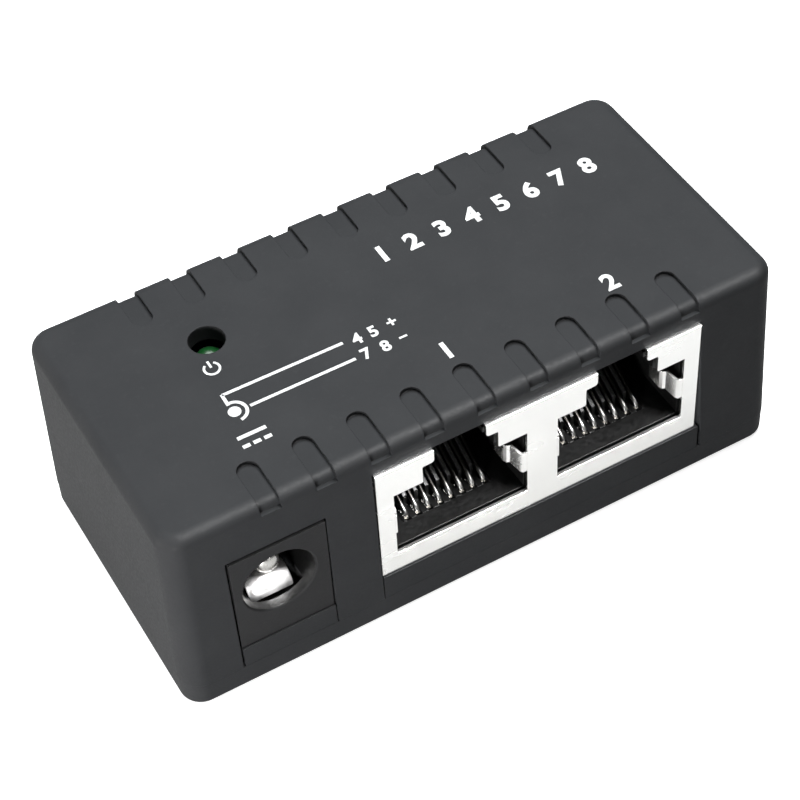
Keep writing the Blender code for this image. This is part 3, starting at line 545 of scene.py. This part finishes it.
def jack_body():
    """Square-faced jack body with a round, lightly countersunk bore."""
    low = Vector((JACK_LEFT + 2 * HAIR, JACK_LOW.y, JACK_LOW.z))
    high = Vector((JACK_RIGHT - 1.5 * HAIR, JACK_HIGH.y, JACK_HIGH.z - HAIR))
    made = new_object("jack_block", box(low, high), JACK)
    step_back = -side_y(SOCKET_TONGUE, LIP_INNER) + GAP
    step = box(
        (JACK_LOW.x - CUT, JACK_LOW.y - CUT, JACK_LOW.z - CUT),
        (JACK_HIGH.x + CUT, step_back, JACK_TONGUE + HAIR),
    )
    combine(made, step, "DIFFERENCE")
    chamfer = 0.12 * MM
    bore = [
        (BORE_RADIUS, FACE_Y + BORE_DEPTH),
        (BORE_RADIUS, FACE_Y + chamfer),
        (BORE_RADIUS + chamfer + CUT, FACE_Y - CUT),
    ]
    combine(made, turned(bore, (JACK_X, BORE_Z), 72, "Y"), "DIFFERENCE")
    leaf_low, leaf_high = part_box("dc_sleeve_spring")
    room = box(
        (leaf_low.x - GAP, leaf_low.y - GAP, leaf_low.z - 0.6 * MM),
        (leaf_high.x + GAP, leaf_high.y + 1.9 * MM, BORE_Z - BORE_RADIUS / 2),
    )
    combine(made, room, "DIFFERENCE")
    even_normals(made, 30.0)
    # Painted shade: the faces inside the bore take the near-black insert plastic, darker than the jack's own
    # face.
    made.data.materials.append(INSERT)
    for face in made.data.polygons:
        out = math.hypot(face.center.x - JACK_X, face.center.z - BORE_Z)
        if face.center.y > FACE_Y + chamfer and out < BORE_RADIUS + HAIR:
            face.material_index = 1
    return place(made, ROOT, "insert_plastic", "dc_jack_body")


def center_pin():
    """Polished round pin with a full dome, its thinner tail and lead."""
    radius = 1.05 * MM
    tail = 0.7 * MM
    tip = PIN_LOW.y
    shoulder = FACE_Y + BORE_DEPTH - GAP
    profile = [(tail, PIN_HIGH.y), (tail, shoulder), (radius, shoulder)]
    for i in range(12):
        angle = math.pi / 2 * i / 12
        profile.append((radius * math.cos(angle), tip + radius * 0.6 * (1 - math.sin(angle))))
    made = new_object("pin", turned(profile, (JACK_X, BORE_Z), 48, "Y"), PIN)
    lead = box((PIN_LOW.x, PIN_HIGH.y - GAP, PIN_LOW.z), (PIN_HIGH.x, PIN_HIGH.y, BORE_Z + tail))
    combine(made, lead, "UNION")
    even_normals(made)
    return place(made, ROOT, "spring_metal", "dc_center_pin")


def smooth_path(points, steps):
    """Points of a curve that passes through each given point."""
    ends = [points[0]] + points + [points[-1]]
    made = []
    for i in range(1, len(ends) - 2):
        p0, p1, p2, p3 = (Vector(p) for p in ends[i - 1:i + 3])
        for k in range(steps):
            t = k / steps
            a = 2 * p1 + (p2 - p0) * t
            b = (2 * p0 - 5 * p1 + 4 * p2 - p3) * t * t
            c = (3 * p1 - p0 - 3 * p2 + p3) * t * t * t
            made.append((a + b + c) / 2)
    made.append(Vector(points[-1]))
    return made


LEAF_WIDTH = 3.7 * MM
LEAF_SHEET = 0.3 * MM
LEAF_SHIFT = -0.35 * MM
LEAF_POINTS = [  # back from the socket face, above the bore axis
    (8.7, -3.4), (5.7, -3.1), (3.5, -1.8), (2.8, -1.5), (2.2, -1.55), (1.7, -1.8),
    (1.35, -2.25), (1.3, -2.75),
]


def sleeve_leaf():
    """Polished spring leaf with a rolled nose and eased long edges."""
    path = smooth_path([(FACE_Y + y * MM, BORE_Z + z * MM) for y, z in LEAF_POINTS], 5)
    half = LEAF_WIDTH / 2
    ease = LEAF_SHEET / 3
    rings = []
    for i, at in enumerate(path):
        before = path[max(i - 1, 0)]
        after = path[min(i + 1, len(path) - 1)]
        along = (after - before).normalized()
        out = Vector((-along.y, along.x))
        section = []
        for x, rise in (
            (-half, -LEAF_SHEET / 2 + ease), (-half + ease, -LEAF_SHEET / 2), (half - ease, -LEAF_SHEET / 2),
            (half, -LEAF_SHEET / 2 + ease), (half, LEAF_SHEET / 2 - ease), (half - ease, LEAF_SHEET / 2),
            (-half + ease, LEAF_SHEET / 2), (-half, LEAF_SHEET / 2 - ease),
        ):
            spot = at + out * rise
            section.append((JACK_X + LEAF_SHIFT + x, spot.x, spot.y))
        rings.append(section)
    made = new_object("leaf", loft(rings), LEAF, 50.0)
    return place(made, "dc_sleeve_leaf", "spring_metal", "dc_sleeve_spring")


# Shielded socket


def port_prism(centre, front, rear):
    outline = [(x * MM, PORT_FLOOR + z * MM) for x, z in PORT_SHAPE]
    outline += [(-x, z) for x, z in reversed(outline)]
    return loft([[(centre + x, y, z) for x, z in outline] for y in (front, rear)])


def finger(centre, side, strip):
    """Earthing finger: a strip of the plate, then a panel folded back into the port."""
    half = 0.1 * MM
    edge = PORT_SHAPE[0][0] * MM
    path = [
        Vector((centre + side * (edge - (a * strip if a > 0 else a) * MM), FACE_Y + b * MM))
        for a, b, _, _ in FINGERS
    ]
    rings = []
    for i, (at, (_, _, low, high)) in enumerate(zip(path, FINGERS)):
        along = (path[min(i + 1, len(path) - 1)] - path[max(i - 1, 0)]).normalized()
        out = Vector((-along.y, along.x)) * half
        a = at - out
        b = at + out
        rings.append([
            (a.x, a.y, PORT_FLOOR + low * MM), (b.x, b.y, PORT_FLOOR + low * MM),
            (b.x, b.y, PORT_FLOOR + high * MM), (a.x, a.y, PORT_FLOOR + high * MM),
        ])
    return loft(rings)


def shield():
    """Folded plated sheet with rounded front folds, stepped openings and earthing fingers."""
    rear = SHIELD_HIGH.y
    outer = box((SHIELD_LOW.x, FACE_Y, SEAT), (SHIELD_HIGH.x, rear, SHIELD_TOP))
    folds = [
        edge for edge in outer.edges
        if sum(abs(v.co.y - FACE_Y) < HAIR for v in edge.verts) == 2
        and max(v.co.z for v in edge.verts) > TOP / 2
    ]
    bmesh.ops.bevel(outer, geom=folds, offset=0.06 * MM, segments=2, affect="EDGES", profile=0.5)
    made = new_object("shield", outer, NICKEL)
    inside = box(
        (SHIELD_LOW.x + SHEET, FACE_Y + SHEET, SEAT - CUT),
        (SHIELD_HIGH.x - SHEET, rear - SHEET, SHIELD_TOP - SHEET),
    )
    combine(made, inside, "DIFFERENCE")
    step_back = -side_y(SOCKET_TONGUE, LIP_INNER) + GAP
    step = box(
        (SHIELD_LOW.x - CUT, FACE_Y - CUT, SEAT - CUT),
        (SHIELD_HIGH.x + CUT, step_back, SOCKET_TONGUE + HAIR),
    )
    combine(made, step, "DIFFERENCE")
    ports = [port_prism(x, FACE_Y - CUT, FACE_Y + SHEET + HAIR) for x in PORTS.values()]
    combine(made, several(ports), "DIFFERENCE")
    notches = []
    for x in PORTS.values():
        low = (x - NOTCH, FACE_Y - CUT, PORT_FLOOR + PORT_SHAPE[-2][1] * MM + HAIR / 2)
        high = (x + NOTCH, FACE_Y + 2.2 * MM, SHIELD_TOP + CUT)
        notches.append(box(low, high))
    combine(made, several(notches), "DIFFERENCE")
    for x in PORTS.values():
        combine(made, several([finger(x, -1, 0.4), finger(x, 1, 1.0)]), "UNION")
    legs = []
    for x in (SHIELD_LOW.x + SHEET / 2, SHIELD_HIGH.x - SHEET / 2):
        for y in (FACE_Y + 8.1 * MM, rear - 1.2 * MM):
            low = (x - SHEET / 2, y - 0.6 * MM, SHIELD_LOW.z)
            legs.append(box(low, (x + SHEET / 2, y + 0.6 * MM, SEAT + HAIR)))
    combine(made, several(legs), "UNION")
    even_normals(made, 30.0)
    return place(made, ROOT, "nickel", "rj45_shield")


def contact_guides():
    """Black bars that close the floor between the contacts where they come up."""
    shapes = []
    for centre in PORTS.values():
        edges = [centre + 1.016 * MM * (i - 3.5) for i in range(8)]
        clear = WIRE / 2 + 0.04 * MM
        ends = [(edges[0] - 0.45 * MM, edges[0] - clear)]
        ends += [(a + clear, b - clear) for a, b in zip(edges, edges[1:])]
        ends.append((edges[-1] + clear, edges[-1] + 0.45 * MM))
        for left, right in ends:
            low = (left, HINGE_Y - 0.48 * MM, PORT_FLOOR - 0.6 * MM)
            high = (right, HINGE_Y + 0.98 * MM, PORT_FLOOR)
            shapes.append(box(low, high))
    return place(new_object("contact_guides", several(shapes), INSERT), ROOT, "insert_plastic")


CONTACT_BEND = 0.75 * MM
CONTACT_SLOPE = math.radians(29.0)


def contact_wire(node, body):
    """One springing contact: drawn round wire, bent back from the floor of its port."""
    low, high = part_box(node)
    x = (low.x + high.x) / 2
    start_z = low.z + 0.4 * MM - CONTACT_BEND * math.sin(math.pi / 2 + CONTACT_SLOPE)
    path = [(HINGE_Y + 0.02 * MM, low.z)]
    turn = math.pi / 2 - CONTACT_SLOPE
    first = math.asin((low.z + 0.08 * MM - start_z) / CONTACT_BEND)
    for i in range(9):
        angle = math.pi - first - (turn - first) * i / 8
        y = HINGE_Y + CONTACT_BEND * (1 + math.cos(angle))
        path.append((y, start_z + CONTACT_BEND * math.sin(angle)))
    reach = (high.y - WIRE / 4 - path[-1][0]) / math.cos(CONTACT_SLOPE)
    for share in (0.33, 0.66, 0.97, 1.0):
        y = path[9][0] + reach * share * math.cos(CONTACT_SLOPE)
        path.append((y, path[9][1] + reach * share * math.sin(CONTACT_SLOPE)))
    rings = []
    for i, (y, z) in enumerate(path):
        before = Vector(path[max(i - 1, 0)])
        after = Vector(path[min(i + 1, len(path) - 1)])
        along = (after - before).normalized()
        radius = WIRE / 2 * (0.6 if i == len(path) - 1 else 1.08)
        ring = []
        for k in range(12):
            angle = 2 * math.pi * k / 12
            across = radius * math.cos(angle)
            out = radius * math.sin(angle)
            ring.append((x + across, y - along.y * out, z + along.x * out))
        rings.append(ring)
    made = new_object("wire_" + node, loft(rings), WIRE_METAL, 60.0)
    return place(made, body, "spring_metal", node)


def contacts():
    contact_guides()
    for port in PORTS:
        for i in range(8):
            contact_wire(f"{port}_contact_{i + 1}", f"{port}_contact_row")


# Base plate


def level_ring(height, inset, steps=10):
    """Outline of the case at the seam, put at another height."""
    return [(x, y, height) for x, y, _ in case_ring(SEAM, inset, steps)]


def tongue(left, right, top):
    """Block that fills a slot of the cover, flush with its sloping wall."""
    front = HAIR / 4
    corners = []
    for z in (FLOOR, top):
        outer = -side_y(max(z, SEAM), front)
        inner = -side_y(SOCKET_TONGUE, LIP_INNER)
        corners.append([(left, outer, z), (right, outer, z), (right, inner, z), (left, inner, z)])
    return loft(corners)


def base():
    """Base plate with a rounded foot, its lip, tongues, snap tabs and board rests."""
    inset = HAIR / 4
    top = SEAM - HAIR / 3
    rings = [
        case_ring(FLOOR, LIP_INNER), case_ring(LIP_TOP, LIP_INNER), case_ring(LIP_TOP, LIP_OUTER),
        case_ring(top, LIP_OUTER), level_ring(top, inset),
    ]
    for i in range(9):
        angle = math.pi / 2 * i / 8
        level = FOOT_RADIUS * (1 - math.sin(angle))
        rings.append(level_ring(level, inset + FOOT_RADIUS * (1 - math.cos(angle))))
    made = new_object("base", loft(rings), CASE)
    combine(made, tongue(JACK_LEFT + 2 * HAIR, JACK_RIGHT - HAIR, JACK_TONGUE), "UNION")
    combine(made, tongue(SHIELD_LOW.x, SHIELD_HIGH.x + 0.3 * MM, SOCKET_TONGUE), "UNION")
    face = end_x(4.6 * MM, LIP_OUTER)
    for side in (-1, 1):
        ends = sorted((side * (face - 0.8 * MM), side * face))
        combine(made, box((ends[0], -4 * MM, FLOOR - HAIR), (ends[1], 4 * MM, 4.6 * MM)), "UNION")
        ends = sorted((side * (face - HAIR), side * (face + 0.6 * MM)))
        combine(made, box((ends[0], -4 * MM, 3.2 * MM), (ends[1], 4 * MM, 4.0 * MM)), "UNION")
    inset = 1.9 * MM
    far = BOARD_HIGH.x - inset
    deep = BOARD_HIGH.y - inset
    rest = BOARD_LOW.z - GAP
    profile = [(1.3 * MM, FLOOR - HAIR), (1.3 * MM, rest), (0.7 * MM, rest), (0.7 * MM, BOARD_HIGH.z)]
    near = (JACK_HIGH.x + SHIELD_LOW.x) / 2
    for at in ((far, deep), (far, -deep), (-far, deep), (near, -deep)):
        combine(made, turned(profile, at, 32), "UNION")
    even_normals(made, 30.0)
    return place(made, ROOT, "case_plastic", "base_plate")


# Lamp


def lamp():
    """Domed lamp body with a flange."""
    radius = 1.4 * MM
    flange = 1.9 * MM
    low = LED_LOW.z
    top = LED_HIGH.z + 0.5 * MM
    profile = [(flange, low), (flange, low + 1.0 * MM), (radius, low + 1.0 * MM)]
    for i in range(14):
        angle = math.pi / 2 * i / 14
        profile.append((radius * math.cos(angle), top - radius * (1 - math.sin(angle))))
    made = new_object("lamp", turned(profile, (LAMP_X, LAMP_Y), 48), RESIN)
    even_normals(made)
    return place(made, ROOT, "lamp_resin", "power_led")


# Carried-over parts


def dress():
    """Gives each CAD node that stays its finish."""
    finish = {
        "case_plastic": CASE,
        "insert_plastic": INSERT,
        "nickel": NICKEL,
        "spring_metal": SPRING,
        "solder_mask": MASK,
        "lamp_resin": RESIN,
        "component_black": CHIP,
        "ceramic": CERAMIC,
        "capacitor_sleeve": SLEEVE,
    }
    for part in frame["record"]["subparts"]:
        node = frame["nodes"][part["node"]]
        if not node.material_slots:
            node.data.materials.append(None)
        for slot in node.material_slots:
            slot.link = "OBJECT"
            slot.material = finish[part["material_slot"]]


# Printing on the cover

INK_RISE = 0.012 * MM


def flat_piece(name, outlines, rise=INK_RISE):
    """Thin ink shapes on the top from lists of (x, y) points in millimetres."""
    shapes = []
    for outline in outlines:
        shapes.append(loft([[(x * MM, y * MM, z) for x, y in outline] for z in (TOP - rise, TOP + rise)]))
    return place(new_object(name, several(shapes), INK), ROOT, None)


def bar(x0, y0, x1, y1, width):
    """Corners of a straight stroke."""
    along = Vector((x1 - x0, y1 - y0)).normalized()
    side = Vector((-along.y, along.x)) * width / 2
    a = Vector((x0, y0))
    b = Vector((x1, y1))
    return [tuple(a - side), tuple(b - side), tuple(b + side), tuple(a + side)]


def arc(x, y, radius, width, start, end, steps=40):
    """Segments of a ring."""
    pieces = []
    for i in range(steps):
        a = math.radians(start + (end - start) * i / steps)
        b = math.radians(start + (end - start) * (i + 1) / steps)
        inner = radius - width / 2
        outer = radius + width / 2
        pieces.append([
            (x + inner * math.cos(a), y + inner * math.sin(a)),
            (x + outer * math.cos(a), y + outer * math.sin(a)),
            (x + outer * math.cos(b), y + outer * math.sin(b)),
            (x + inner * math.cos(b), y + inner * math.sin(b)),
        ])
    return pieces


def disc(x, y, radius, steps=32):
    return [
        (x + radius * math.cos(2 * math.pi * i / steps), y + radius * math.sin(2 * math.pi * i / steps))
        for i in range(steps)
    ]


def numerals(name, text, x, y, height, weight, spacing=1.0):
    """Plain numbers, their lower left corner at (x, y) in millimetres."""
    curve = bpy.data.curves.new(name, "FONT")
    curve.body = text
    curve.size = height / 0.73 * MM
    curve.offset = weight * MM
    curve.space_character = spacing
    curve.extrude = INK_RISE
    curve.resolution_u = 6
    made = bpy.data.objects.new(name, curve)
    bpy.context.scene.collection.objects.link(made)
    made.location = (x * MM, y * MM, TOP)
    bpy.context.view_layer.update()
    mesh = bpy.data.meshes.new_from_object(made.evaluated_get(bpy.context.evaluated_depsgraph_get()))
    mesh.transform(made.matrix_world)
    bpy.data.objects.remove(made)
    mesh.materials.clear()
    mesh.materials.append(INK)
    printed = bpy.data.objects.new(name, mesh)
    bpy.context.scene.collection.objects.link(printed)
    return place(printed, ROOT, None)


def printing():
    flat_piece("print_lines", [
        bar(-16.6, -1.55, -6.19, -1.67, 0.27),
        bar(-15.23, -3.61, -6.14, -3.65, 0.27),
        bar(-16.6, -1.48, -16.64, -2.73, 0.27),
    ])
    ring = arc(-16.52, -3.53, 0.97, 0.27, 98, -85)
    flat_piece("print_ring", ring + [disc(-16.52, -3.53, 0.52)], INK_RISE * 0.7)
    for name, text, x, y in (
        ("four", "4", -5.04, -1.81), ("five", "5", -3.6, -1.79), ("seven", "7", -5.2, -3.56),
        ("eight", "8", -3.53, -3.65),
    ):
        numerals("print_" + name, text, x - 0.38, y - 0.55, 1.12, 0.05)
    flat_piece("print_signs", [
        bar(-2.3, -1.69, -1.5, -1.69, 0.2), bar(-1.9, -2.09, -1.9, -1.79, 0.2),
        bar(-1.9, -1.59, -1.9, -1.29, 0.2),
        bar(-2.25, -3.57, -1.55, -3.57, 0.2),
    ])
    numerals("print_row", "1 2 3 4 5 6 7 8", 0.6, 4.4, 1.8, 0.1, 1.35)
    dashes = [bar(x, -7.05, x + 0.62, -7.05, 0.34) for x in (-17.6, -16.7, -15.8)]
    flat_piece("print_direct_current", [bar(-17.6, -6.1, -15.18, -6.1, 0.34)] + dashes)
    numerals("print_port_one", "1", -0.4, -7.4, 1.75, 0.08)
    numerals("print_port_two", "2", 14.2, -7.9, 1.75, 0.08)
    flat_piece("print_power", arc(-16.0, 1.35, 0.62, 0.2, 125, 415) + [bar(-16.0, 1.45, -16.0, 2.2, 0.2)])


# Stage


def area_light(name, at, aim, size, power, colour=(1.0, 1.0, 1.0), diffuse=True):
    lamp_data = bpy.data.lights.new(name, "AREA")
    lamp_data.shape = "DISK"
    lamp_data.size = size
    lamp_data.energy = power
    lamp_data.color = colour
    made = bpy.data.objects.new(name, lamp_data)
    bpy.context.scene.collection.objects.link(made)
    made.location = at
    made.rotation_euler = (Vector(aim) - Vector(at)).to_track_quat("-Z", "Y").to_euler()
    made.visible_camera = False
    made.visible_diffuse = diffuse
    return made


def studio():
    floor = new_object("floor", loft([
        [(-3.0, -3.0, -0.02), (3.0, -3.0, -0.02), (3.0, 3.0, -0.02), (-3.0, 3.0, -0.02)],
        [(-3.0, -3.0, 0.0), (3.0, -3.0, 0.0), (3.0, 3.0, 0.0), (-3.0, 3.0, 0.0)],
    ]), None)
    pale = bpy.data.materials.new("pale_floor")
    pale.use_nodes = True
    tree = pale.node_tree
    shader = tree.nodes["Principled BSDF"]
    shader.inputs["Base Color"].default_value = (0.92, 0.92, 0.92, 1.0)
    shader.inputs["Roughness"].default_value = 0.9
    shader.inputs["Specular IOR Level"].default_value = 0.0
    shader.inputs["Emission Color"].default_value = (1.0, 1.0, 1.0, 1.0)
    shader.inputs["Emission Strength"].default_value = 0.75
    dim = tree.nodes.new("ShaderNodeBsdfDiffuse")
    dim.inputs["Color"].default_value = (0.05, 0.05, 0.05, 1.0)
    grey = tree.nodes.new("ShaderNodeBsdfPrincipled")
    grey.inputs["Base Color"].default_value = (0.3, 0.3, 0.298, 1.0)
    grey.inputs["Roughness"].default_value = 0.9
    grey.inputs["Specular IOR Level"].default_value = 0.0
    grey.inputs["Emission Color"].default_value = (1.0, 1.0, 0.99, 1.0)
    grey.inputs["Emission Strength"].default_value = 0.55
    path = tree.nodes.new("ShaderNodeLightPath")
    first = tree.nodes.new("ShaderNodeMixShader")
    tree.links.new(path.outputs["Is Camera Ray"], first.inputs[0])
    tree.links.new(grey.outputs[0], first.inputs[1])
    tree.links.new(shader.outputs[0], first.inputs[2])
    mix = tree.nodes.new("ShaderNodeMixShader")
    tree.links.new(path.outputs["Is Diffuse Ray"], mix.inputs[0])
    tree.links.new(first.outputs[0], mix.inputs[1])
    tree.links.new(dim.outputs[0], mix.inputs[2])
    tree.links.new(mix.outputs[0], tree.nodes["Material Output"].inputs["Surface"])
    floor.data.materials[0] = pale
    world = bpy.data.worlds.new("studio")
    bpy.context.scene.world = world
    world.use_nodes = True
    world.node_tree.nodes["Background"].inputs["Color"].default_value = (0.95, 0.97, 1.0, 1.0)
    seen = world.node_tree.nodes.new("ShaderNodeLightPath")
    strength = world.node_tree.nodes.new("ShaderNodeMath")
    strength.operation = "MULTIPLY_ADD"
    strength.inputs[1].default_value = 0.93
    strength.inputs[2].default_value = 0.07
    world.node_tree.links.new(seen.outputs["Is Camera Ray"], strength.inputs[0])
    world.node_tree.links.new(strength.outputs[0], world.node_tree.nodes["Background"].inputs["Strength"])
    area_light("overhead", (0.12, 0.28, 0.68), (0, 0, 0), 0.6, 9.3, (0.95, 0.98, 1.0))
    area_light("front_top", (0.16, -0.19, 0.48), (0, 0, 0.01), 0.2, 24.0, diffuse=False)
    area_light("nose_glint", (0.14, -0.3, 0.28), (0, 0, 0.01), 0.1, 0.22, diffuse=False)
    area_light("left", (-0.6, 0.03, 0.05), (0, 0, 0.01), 0.2, 3.6, (1.0, 0.97, 0.92))
    area_light("fill", (-0.08, -0.085, 0.02), (-0.01, 0, 0.01), 0.03, 0.11)
    area_light("contact_glint", (0.125, -0.36, 0.15), (0, 0, 0.01), 0.08, 0.16, diffuse=False)


def camera():
    data = bpy.data.cameras.new("camera")
    data.sensor_width = 36.0
    data.lens = 98.54
    made = bpy.data.objects.new("camera", data)
    bpy.context.scene.collection.objects.link(made)
    right = Vector((0.86731797, -0.4956141, -0.04611086))
    up = Vector((0.39675224, 0.63241166, 0.66531433))
    back = Vector((-0.30057812, -0.59533365, 0.745138))
    turn = Matrix((right, up, back)).transposed().to_4x4()
    made.matrix_world = Matrix.Translation((-54.92726 * MM, -107.30831 * MM, 142.26937 * MM)) @ turn
    bpy.context.scene.camera = made


bpy.context.scene.view_settings.view_transform = "Standard"
dress()
cover()
jack_body()
center_pin()
sleeve_leaf()
shield()
contacts()
base()
lamp()
printing()
studio()
camera()
